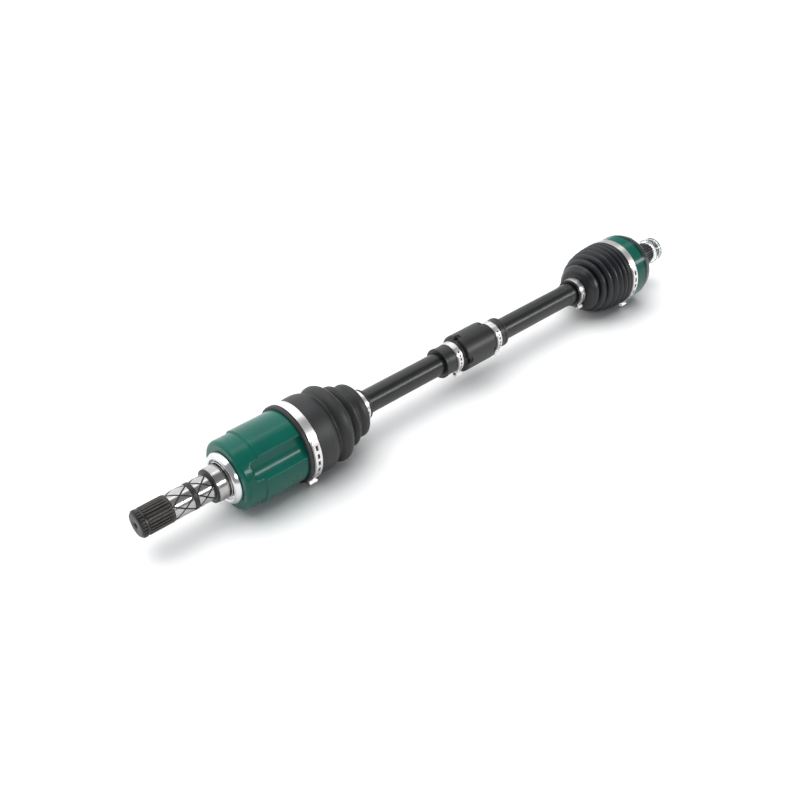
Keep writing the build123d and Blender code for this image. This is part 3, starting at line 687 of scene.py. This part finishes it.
# ---------------------------------------------------------------- inboard housing
def housing():
    """The painted three-lobed cup with its step, flutes and roller tracks."""
    segments = 480
    angles = around(segments)
    back = 12.0
    body_radius = 38.5
    flute_depth = 5.3
    flute_radius = 22.0
    flute_centre = body_radius - flute_depth + flute_radius
    flute_half_angle = math.radians(23.0)
    climb = 9.0
    beyond = 99.0
    hub_radius = 20.0
    edge_blend = 0.9
    rib = 25.0
    track_half_width = 17.75
    track_radius = 34.8
    track_half_angle = math.radians(60.0)

    def flute(x):
        """The flutes' floor at one x; it climbs out at both ends."""
        lift = climb * (1.0 - float(smoothstep(x, 20.0, 24.5))) + climb * float(smoothstep(x, 82.5, 86.5))
        floor = np.full(segments, beyond)
        for centre in FLUTE_ANGLES:
            off = np.abs(gap_to(angles, math.radians(centre)))
            inside = off < flute_half_angle
            arc = np.where(inside, flute_radius ** 2 - (flute_centre * np.sin(off)) ** 2, 0.0)
            radius = np.where(inside, flute_centre * np.cos(off) - np.sqrt(np.maximum(arc, 0.0)), beyond)
            floor = np.minimum(floor, radius)
        return floor + lift

    outside = rounded([(back, 0.0), (back, 27.6, 0.5), (back, 28.2, 8.6), (back, 36.8, 8.6),
                       (31.2, 36.8, 0.8), (33.0, body_radius, 0.7), (101.0, body_radius, 0.8),
                       (102.0, 37.6, 0.4)], closed=False, steps=8)
    stations = []
    for x, r in spread(outside, 1.6):
        fluted = soft_min(np.full(segments, r), flute(x), edge_blend)
        stations.append((x, r if r < hub_radius else fluted))
    lobes = np.full(segments, rib)
    for centre in TRACK_ANGLES:
        off = gap_to(angles, math.radians(centre))
        side = track_half_width / np.maximum(np.abs(np.sin(off)), CLOSE)
        reach = np.where(np.abs(off) < track_half_angle, np.minimum(track_radius, side), rib)
        lobes = np.maximum(lobes, reach)
    flare = ((102.0, 32.0), (100.8, 31.5), (100.6, 34.7), (98.4, 34.7), (98.2, 30.6), (84.0, rib),
             (60.0, rib), (28.5, rib))
    stations += [(x, np.maximum(lobes, r)) for x, r in flare]
    stations += [(28.5, 12.0), (28.5, 0.0)]
    return spun("inboard_housing_cup", stations, segments, sharp=32.0)


# ---------------------------------------------------------------- boots
def boot_piece(name, outer, inner, crests=()):
    """A closed boot mesh from its outer and inner lines, both from low x to high x.

    The mask attribute is 1 on the tops of the ribs, whose places and radii are the crests; there the
    material paints a highlight.
    """
    def crest_highlight(xs, radius, angles):
        """The painted highlight: 1 on a rib's top, falling to 0 within a millimetre below it."""
        beside = 2.0
        if not crests or not crests[0][0] - beside < xs[0] < crests[-1][0] + beside:
            return 0.0
        top = np.interp(xs, *zip(*crests))
        return smoothstep(radius, top - 1.1, top - 0.1)

    return spun(name, outer + inner[::-1], BOOT_SEGMENTS, closed=True, mark=crest_highlight)


def inboard_boot_lines():
    """The outer and inner lines of the whole inboard boot."""
    cuff = rounded([(81.0, INBOARD_CUFF_BORE), (81.0, 40.6, 0.7), (82.2, 41.9, 0.7), (84.6, 41.9, 0.5),
                    (85.2, LARGE_SEAT, 0.3), (95.4, LARGE_SEAT, 0.3), (96.0, 41.7, 0.3), (96.9, 41.6, 0.3),
                    (97.0, LARGE_SEAT)], closed=False)
    body = smooth_line(INBOARD_BOOT_OUTLINE, 7)
    small = rounded([(171.2, 17.6, 0.0), (171.7, 15.7, 0.4), (179.5, 15.7, 0.3), (179.9, 16.8, 0.4),
                     (182.0, 16.8, 0.7), (182.0, BAR_BORE)], closed=False)
    inner = [(81.0, INBOARD_CUFF_BORE), (97.2, INBOARD_CUFF_BORE)]
    inner += [(x, max(r - BOOT_WALL, BAR_BORE)) for x, r in body if x > 97.4]
    inner += [(173.0, BAR_BORE), (182.0, BAR_BORE)]
    return cuff[:-1] + body + small[1:-1], inner


def split_at(line, x_split, low_side):
    """The part of a line on one side of an x, ending exactly on it."""
    for a, b in zip(line, line[1:]):
        if (a[0] - x_split) * (b[0] - x_split) <= 0 and a[0] != b[0]:
            share = (x_split - a[0]) / (b[0] - a[0])
            cut = (x_split, a[1] + (b[1] - a[1]) * share)
            break
    if low_side:
        return [p for p in line if p[0] < x_split - CLOSE] + [cut]
    return [cut] + [p for p in line if p[0] > x_split + CLOSE]


def outboard_boot_lines():
    """The bell-shaped boot: thin crest ribs on a flaring wall."""
    cuff = rounded([(518.5, LAND_BORE), (518.5, 16.8, 0.6), (520.8, 16.8, 0.4), (521.2, 15.7, 0.3),
                    (530.0, 15.7, 0.6), (530.6, 17.5, 0.0)], closed=False)
    wall = [(530.6, 17.5), (531.1, 20.8), (532.6, 24.4), (535.2, 26.9)]
    for number, (x, r) in enumerate(OUTBOARD_CRESTS):
        flank = RIB_FLANK if number else FIRST_RIB_FLANK
        wall += [(x + along, r - drop) for along, drop in flank + RIB_TOP]
        if number + 1 < len(OUTBOARD_CRESTS):
            nx, nr = OUTBOARD_CRESTS[number + 1]
            for share, climb in ((0.36, 0.08), (0.56, 0.2)):
                wall.append((x + (nx - x) * share, r - RIB_DEPTH * 0.95 + (nr - r) * climb))
    wall = [(x, max(r, BELL_COVER) if x > BELL_COVER_X else r) for x, r in wall]
    wall += [(590.2, 40.7)]
    body = smooth_line(wall, 4)
    end = rounded([(590.2, 40.7), (591.0, 41.5, 0.3), (591.7, 41.5, 0.3), (592.0, LARGE_SEAT, 0.2),
                   (601.8, LARGE_SEAT, 0.2), (602.9, LARGE_SEAT, 0.4), (603.0, OUTBOARD_CUFF_BORE)],
                  closed=False)
    inner = [(518.5, LAND_BORE), (530.2, LAND_BORE)]
    inner += [(x, max(r - OUTBOARD_BOOT_WALL, LAND_BORE)) for x, r in body if 530.8 < x < 590.0]
    inner += [(591.5, OUTBOARD_CUFF_BORE), (603.0, OUTBOARD_CUFF_BORE)]
    return cuff[:-1] + body + end[1:-1], inner


# ---------------------------------------------------------------- clamps
SHEET = 0.8
TAIL_GAP = 0.02
EDGE_BEVEL = 0.16
LARGE_FROM_RADIUS = 30.0
TAIL_MARGIN = 3
SLOT_SHARE = 0.6
SLOT_COLUMNS = (2, 3)
STRIP_COLUMNS = np.array((0.0, 0.12, 0.33, 0.5, 0.67, 0.88, 1.0)) - 0.5


def ear_outline(seat, big):
    """The pinched ear's points, each (across, above the seat), and two angles in degrees.

    The first is where the strip starts, under the tail; the second is how far the ear's foot reaches.
    """
    half = 3.0 if big else 2.3
    height = 5.5 if big else 3.9
    over = SHEET + TAIL_GAP
    flare = half + 1.7
    points = [(flare, 0.0), (half + 0.7, 0.12), (half - 0.1, 0.8), (half - 0.45, 1.9), (half - 0.1, 3.2),
              (half, height - 1.5), (half - 0.35, height - 0.75), (half - 1.1, height - 0.5),
              (0.0, height - 0.62), (1.1 - half, height - 0.5), (0.35 - half, height - 0.75),
              (-half, height - 1.5), (0.1 - half, 3.2), (0.45 - half, 1.9 + over * 0.4),
              (0.1 - half, 0.8 + over * 0.9), (-half - 0.7, over + 0.12), (-flare, over)]
    if not big:
        points = [(across, min(rise, height - 0.5)) for across, rise in points]
    under_lap = EAR_ANGLE + math.degrees(half / seat) + 2.0
    foot = math.degrees(flare / seat)
    return points, under_lap, foot


def drawn_in(index, tail_start, last):
    """How far one row of a strip is drawn in on each side: on the tail, and more at its tip."""
    along = index - tail_start
    narrow = 0.0 if along < 2 else 0.75 * min(1.0, (along - 1) / 3.0)
    left = last - index
    if left < 3:
        narrow += (3 - left) * 0.28 + (0.5 if left == 0 else 0.0)
    return narrow


def ear_band(name, x_low, width, seat, tail=72.0, slots=3):
    """An ear clamp as one strip: once round, up over the pinched ear, and back over itself as a tail."""
    big = seat > LARGE_FROM_RADIUS
    over = SHEET + TAIL_GAP
    step = 1.0 if big else 2.0
    middle_x = x_low + width / 2.0
    ear_local, under_lap, foot = ear_outline(seat, big)

    def at(angle, radius):
        """A point (y, z) at an angle in degrees."""
        a = math.radians(angle)
        return (radius * math.cos(a), radius * math.sin(a))

    laps = []
    angle = under_lap
    while angle > EAR_ANGLE + foot - 360.0 + step:
        laps.append(at(angle, seat))
        angle -= step
    centre = math.radians(EAR_ANGLE)
    out = np.array((math.cos(centre), math.sin(centre)))
    side = np.array((-math.sin(centre), math.cos(centre)))
    ear_points = []
    for across, rise in ear_local:
        ring_drop = seat - math.sqrt(max(seat ** 2 - across ** 2, 0.0)) if rise < 2.5 else 0.0
        ear_points.append(tuple(out * (seat + rise - ring_drop) + side * across))
    path = laps + smooth_line(ear_points, 3)
    tail_start = len(path)
    count = int(round((tail - foot) / step))
    path += [at(EAR_ANGLE - foot - step * (k + 1), seat + over) for k in range(count)]
    vertices = []
    for index, (y, z) in enumerate(path):
        share = (width - 2.0 * drawn_in(index, tail_start, len(path) - 1)) / width
        vertices += [(middle_x + w * width * share, y, z) for w in STRIP_COLUMNS]
    row = len(STRIP_COLUMNS)
    holes = set()
    pitch = (count - 2 * TAIL_MARGIN) / slots
    long = max(2, int(round(pitch * SLOT_SHARE)))
    for number in range(slots):
        first = tail_start + TAIL_MARGIN + int(round(number * pitch))
        holes.update(range(first, first + long))
    faces = []
    for index in range(len(path) - 1):
        for k in range(row - 1):
            if index in holes and k in SLOT_COLUMNS:
                continue
            a = index * row + k
            faces.append((a, a + 1, a + row + 1, a + row))
    obj = new_object(name, vertices, faces)
    work = bmesh.new()
    work.from_mesh(obj.data)
    bmesh.ops.recalc_face_normals(work, faces=work.faces)
    work.faces.ensure_lookup_table()
    face = work.faces[len(laps) * (row - 1) // 2]
    middle = face.calc_center_median()
    if face.normal.dot(Vector((0.0, middle.y, middle.z))) < 0:
        bmesh.ops.reverse_faces(work, faces=work.faces)
    work.to_mesh(obj.data)
    work.free()
    thick = obj.modifiers.new("thick", "SOLIDIFY")
    thick.thickness = SHEET * MM
    thick.offset = 1.0
    thick.use_even_offset = True
    edge = obj.modifiers.new("edge", "BEVEL")
    edge.width = EDGE_BEVEL * MM
    edge.segments = 2
    edge.limit_method = "ANGLE"
    edge.angle_limit = math.radians(50.0)
    finish_mesh(with_modifiers(obj), 40.0)
    # Painted shade: full in the slots, and about half on the inner lap under the tail.
    painted_shade = []
    for vertex in obj.data.vertices:
        x, y, z = vertex.co / MM
        back = (EAR_ANGLE - foot - math.degrees(math.atan2(z, y))) % 360.0
        steps_back = back / step - 1.0
        lower = math.hypot(y, z) < seat + SHEET + 0.01
        slotted = any(h - 0.3 < tail_start + steps_back < h + 1.3 for h in holes)
        if lower and slotted and abs(x - middle_x) < width * 0.2:
            painted_shade.append(1.0)
        elif lower and -1.0 < steps_back < count + 0.6:
            painted_shade.append(0.45)
        else:
            painted_shade.append(0.0)
    set_coat_and_painted_light(obj, painted_shade)
    return obj


# ---------------------------------------------------------------- damper
def damper_sleeve():
    """The moulded sleeve: lips, necks under the clamps, and a body with notches at both ends."""
    segments = 288
    angles = around(segments)
    body_start = 319.0
    body_end = 365.0
    body_radius = 21.8
    lip_radius = 17.4
    notch_radius = 3.6
    notch_length = 1.6
    notch_reach = 8.0
    notch_floor = 17.6
    notch_rise = 4.4
    outline = rounded([(291.0, 13.0, 0.0), (291.0, lip_radius, 0.8), (294.0, lip_radius, 0.6),
                       (295.0, DAMPER_SEAT, 0.5), (body_start, DAMPER_SEAT, 1.2), (320.0, body_radius, 1.8),
                       (364.0, body_radius, 1.8), (body_end, DAMPER_SEAT, 1.2), (385.0, DAMPER_SEAT, 0.5),
                       (386.0, lip_radius, 0.6), (389.0, lip_radius, 0.8), (389.0, 13.0, 0.0)],
                      closed=False, steps=5)
    stations = []
    for x, r in spread(outline, 0.7):
        radius = np.full(segments, r)
        if body_start < x < body_end and r > 17.2:
            for centre, (end, way) in product(NOTCH_ANGLES, ((320.6, 1.0), (363.4, -1.0))):
                inwards = (x - end) * way
                if inwards > notch_reach:
                    continue
                arc = gap_to(angles, math.radians(centre)) * body_radius
                away = np.hypot(np.maximum(inwards - notch_length, 0.0), arc)
                floor = notch_floor + notch_rise * smoothstep(away, notch_radius - 0.7, notch_radius + 0.2)
                radius = np.minimum(radius, floor)
        stations.append((x, radius))
    stations += [(389.0, 13.05), (361.2, 13.05), (361.2, 15.2), (361.2, 20.2), (322.8, 20.2), (322.8, 15.2),
                 (322.8, 13.05)]
    return spun("damper_sleeve", stations, segments, closed=True, sharp=38.0)


# ---------------------------------------------------------------- outboard joint
def track_hollow(x, angles):
    """The bell's inner radius at one x: a sphere with six tracks, each point found by repetition."""
    d = x - BALL_JOINT_X
    sphere = math.sqrt(max(BELL_INNER_RADIUS ** 2 - d ** 2, 0.0))
    radius = np.full(len(angles), sphere)
    for centre in BALL_ANGLES:
        off = np.abs(gap_to(angles, math.radians(centre)))
        r = np.full(len(angles), 35.0)
        for _ in range(12):
            side = np.maximum(r * np.sin(off) - TRACK_SIDE_PLAY, 0.0)
            inside = (side < TRACK_RADIUS) & (off < TRACK_LIMIT_ANGLE)
            arm = BALL_PITCH_RADIUS + np.sqrt(np.maximum(TRACK_RADIUS ** 2 - side ** 2, 0.0))
            flat = np.sqrt(np.maximum(arm ** 2 - d ** 2, 1.0))
            r = np.where(inside, np.hypot(flat, r * np.sin(off)), sphere)
            r = np.clip(r, 0.0, 37.2)
        radius = np.maximum(radius, np.where(inside, r, sphere))
    return radius


def bell():
    """The painted bell: boot seat, cylinder, rounded shoulder, and the ball tracks inside."""
    segments = 360
    angles = around(segments)
    flare_x = 590.0
    outside = rounded([(583.0, 35.2, 0.0), (583.0, 36.4, 0.3), (587.0, 38.2, 0.8), (603.0, 38.2, 0.3),
                       (603.0, 41.0, 0.5), (623.0, 41.0, 3.0), (631.0, 38.6, 3.0), (636.0, 35.0, 2.4),
                       (637.5, 31.0, 1.2), (640.5, 20.0, 0.4), (640.5, 16.9, 0.0)], closed=False, steps=6)
    stations = [(623.5, 0.0)]
    for x in np.linspace(623.4, BALL_JOINT_X, 14):
        stations.append((x, np.minimum(track_hollow(x, angles), BELL_TRACK_DEPTH)))
    for x in (595.0, 591.0, flare_x):
        stations.append((x, np.clip(track_hollow(x, angles), BELL_INNER_RADIUS, BELL_TRACK_DEPTH)))
    for x in (588.0, 586.0, 584.2):
        mouth = BELL_INNER_RADIUS + (flare_x - x) * 0.8
        stations.append((x, np.clip(track_hollow(x, angles), mouth, 36.4)))
    stations += spread(outside, 1.0) + [(640.5, 8.0), (640.5, 0.0)]
    # The bell's shoulder gets painted shade: the mask attribute darkens the green there.
    return spun("outboard_bell", stations, segments, sharp=34.0,
                mark=lambda xs, radius, all_angles: smoothstep(xs, *PAINTED_SHADE_SHOULDER) * 0.9)


def outboard_stub():
    """The hub stub: journal, splines with their run-out, and the plain end with its centre hole."""
    angles = around(TOOTH_SEGMENTS)
    teeth = tooth_radius(angles)
    stations = [(640.5, 0.0), (640.5, 16.6), (640.7, 16.9), (641.0, 17.0), (645.4, 17.0), (645.8, 16.85),
                (646.0, 16.4), (646.0, 14.2), (646.2, 13.9), (646.6, 13.75)]
    stations += run_out(teeth, 646.8, 3.4, 6, opening=True)
    stations += [(658.0, teeth), (666.0, teeth), (674.6, teeth), (675.3, np.minimum(teeth, 13.4)),
                 (676.0, np.minimum(teeth, 12.75)), (676.05, 12.4), (676.4, 12.4), (688.3, 12.4),
                 (689.6, 11.3), (690.0, 10.6), (690.0, 6.0), (690.0, 3.4), (689.0, 2.3), (681.0, 2.1),
                 (680.0, 0.0)]
    return spun("outboard_spline_stub", stations, TOOTH_SEGMENTS, mark=rubbed_crest)


def transport_cap():
    """The thin clear cap pushed over the stub's end."""
    outline = rounded([(677.5, 12.5, 0.15), (690.1, 12.5, 0.3), (690.1, 8.5, 0.2), (691.3, 8.5, 0.3),
                       (691.3, 15.2, 0.5), (690.7, 15.8, 0.4), (678.7, 15.8, 0.5), (678.7, 16.8, 0.4),
                       (677.5, 16.8, 0.4)], steps=5)
    return spun("outboard_transport_cap", outline, 144, closed=True)


# ---------------------------------------------------------------- the pieces on their bodies
dress(inboard_spline_end(), "inboard_joint", "black_phosphate", "inboard_stub_shaft")
dress(inboard_pilot(), "inboard_joint", "ground_steel", "inboard_stub_shaft")
dress(dust_shield(), "inboard_joint", "zinc_plate", "inboard_dust_shield")
dress(housing(), "inboard_joint", "green_paint", "inboard_housing")

boot_outer, boot_inner = inboard_boot_lines()
barrel = boot_piece(
    "inboard_boot_barrel", split_at(boot_outer, SPLIT_X, True), split_at(boot_inner, SPLIT_X, True))
bellows = boot_piece(
    "inboard_boot_bellows", split_at(boot_outer, SPLIT_X, False), split_at(boot_inner, SPLIT_X, False))
dress(barrel, None, "boot_rubber", "inboard_boot")
dress(bellows, None, "boot_rubber", "inboard_boot")
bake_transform(barrel)
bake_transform(bellows)
outer_boot = boot_piece("outboard_boot_bell", *outboard_boot_lines(), crests=OUTBOARD_CRESTS)
# The outboard boot's rib tops get a strong painted highlight.
tough = rubber("outboard_boot_elastomer", (0.0012, 0.0016, 0.0024), (0.0022, 0.0028, 0.0040), 0.34,
               grain=0.08, dust=0.1, crest_highlight=6.0)
dress(outer_boot, None, "boot_rubber", "outboard_boot", look=tough)
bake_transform(outer_boot)

dress(ear_band("inboard_large_band", 85.8, LARGE_BAND_WIDTH, LARGE_SEAT, tail=84.0, slots=6),
      "inboard_joint", "stainless_band", "inboard_large_clamp")
dress(ear_band("inboard_small_band", 172.0, 7.0, SMALL_SEAT),
      "shaft", "stainless_band", "inboard_small_clamp")
dress(ear_band("damper_band_left", 307.0, 8.0, DAMPER_SEAT, tail=112.0, slots=6),
      "shaft", "stainless_band", "damper_clamp_left")
dress(ear_band("damper_band_right", 370.0, 8.0, DAMPER_SEAT, tail=112.0, slots=6),
      "shaft", "stainless_band", "damper_clamp_right")
dress(ear_band("outboard_small_band", 521.5, 8.0, SMALL_SEAT),
      "shaft", "stainless_band", "outboard_small_clamp")
dress(ear_band("outboard_large_band", 592.2, LARGE_BAND_WIDTH, LARGE_SEAT, tail=84.0, slots=6),
      "outboard_joint", "stainless_band", "outboard_large_clamp")
dress(damper_sleeve(), "shaft", "damper_rubber", "damper_rubber")
dress(bell(), "outboard_joint", "green_paint", "outer_race")
dress(outboard_stub(), "outboard_joint", "black_phosphate", "outer_race")
dress(transport_cap(), "transport_cap", "clear_plastic", "outboard_stub_protector")

# ---------------------------------------------------------------- CAD nodes that stay
slot_of = {part["node"]: part["material_slot"] for part in frame["record"]["subparts"]}
for name, node in nodes.items():
    if not node.hide_render:
        node.data.materials.clear()
        node.data.materials.append(MATERIALS[slot_of[name]])

# ---------------------------------------------------------------- floor, lights and camera
FLOOR_Z = cad_box[0][2]
FLOOR_SIZE = 14.0
DOME_RADIUS = FLOOR_SIZE * 0.49
CAMERA_PLACE = Vector((-0.3256, -0.6107, 0.5958))
CAMERA_FORWARD = Vector((0.5424, 0.5909, -0.5972))
CAMERA_LENS = 42.75
CAMERA_SENSOR = 36.0


def floor():
    """A plain pale floor."""
    mesh = bpy.data.meshes.new("floor")
    h = FLOOR_SIZE / 2.0
    corners = [(x, y, FLOOR_Z) for x, y in ((-h, -h), (h, -h), (h, h), (-h, h))]
    mesh.from_pydata(corners, [], [(0, 1, 2, 3)])
    obj = placed("floor", mesh)
    s = Shader("studio_floor")
    s.to("Base Color", s.ramp(s.noise(900.0, 2.0), (0.3, 0.86), (0.7, 0.90)))
    s.set(Roughness=0.85, Specular_IOR_Level=0.2)
    mesh.materials.append(s.material)


def area_light(name, place, target, size, size_y, power):
    """A soft rectangular light aimed at a point."""
    lamp = bpy.data.lights.new(name, "AREA")
    lamp.shape = "RECTANGLE"
    lamp.size = size
    lamp.size_y = size_y
    lamp.energy = power
    obj = placed(name, lamp)
    obj.location = place
    obj.rotation_euler = (Vector(target) - Vector(place)).to_track_quat("-Z", "Y").to_euler()
    return obj


def sun(name, direction, angle, power):
    """A distant soft light shining from a direction, with an apparent size in degrees."""
    lamp = bpy.data.lights.new(name, "SUN")
    lamp.energy = power
    lamp.angle = math.radians(angle)
    obj = placed(name, lamp)
    obj.rotation_euler = Vector(direction).to_track_quat("Z", "Y").to_euler()
    return obj


def backdrop():
    """A white dome that only the camera sees, so that the studio stays dim in reflections."""
    work = bmesh.new()
    bmesh.ops.create_uvsphere(work, u_segments=48, v_segments=24, radius=DOME_RADIUS)
    mesh = bpy.data.meshes.new("backdrop")
    work.to_mesh(mesh)
    work.free()
    obj = placed("backdrop", mesh)
    material = bpy.data.materials.new("backdrop_white")
    material.use_nodes = True
    surface = material.node_tree.nodes["Principled BSDF"]
    surface.inputs["Base Color"].default_value = (0.0, 0.0, 0.0, 1.0)
    surface.inputs["Emission Color"].default_value = (1.0, 1.0, 1.0, 1.0)
    surface.inputs["Emission Strength"].default_value = 1.0
    mesh.materials.append(material)
    for kind in ("diffuse", "glossy", "transmission", "volume_scatter", "shadow"):
        setattr(obj, "visible_" + kind, False)


floor()
backdrop()
sun("overhead", (-0.12, 0.05, 0.99), 60.0, 2.1).visible_glossy = False
sun("far_side", (-0.10, 0.75, 0.62), 100.0, 2.2)
area_light("overhead_strip", (1.4, 0.26, 1.5), (1.4, 0.0, 0.0), 4.6, 0.5, 7.5).visible_diffuse = False
area_light("front_strip", (1.00, -0.95, 0.52), (1.00, 0.0, 0.0), 2.1, 0.20, 14.0).visible_diffuse = False

world = bpy.data.worlds.new("studio")
world.use_nodes = True
world.node_tree.nodes["Background"].inputs["Color"].default_value = (0.95, 0.97, 1.0, 1.0)
world.node_tree.nodes["Background"].inputs["Strength"].default_value = 0.37
bpy.context.scene.world = world
bpy.context.scene.view_settings.view_transform = "Standard"

camera_data = bpy.data.cameras.new("camera")
camera_data.sensor_width = CAMERA_SENSOR
camera_data.lens = CAMERA_LENS
camera = placed("camera", camera_data)
camera.location = CAMERA_PLACE
camera.rotation_euler = CAMERA_FORWARD.to_track_quat("-Z", "Y").to_euler()
bpy.context.scene.camera = camera
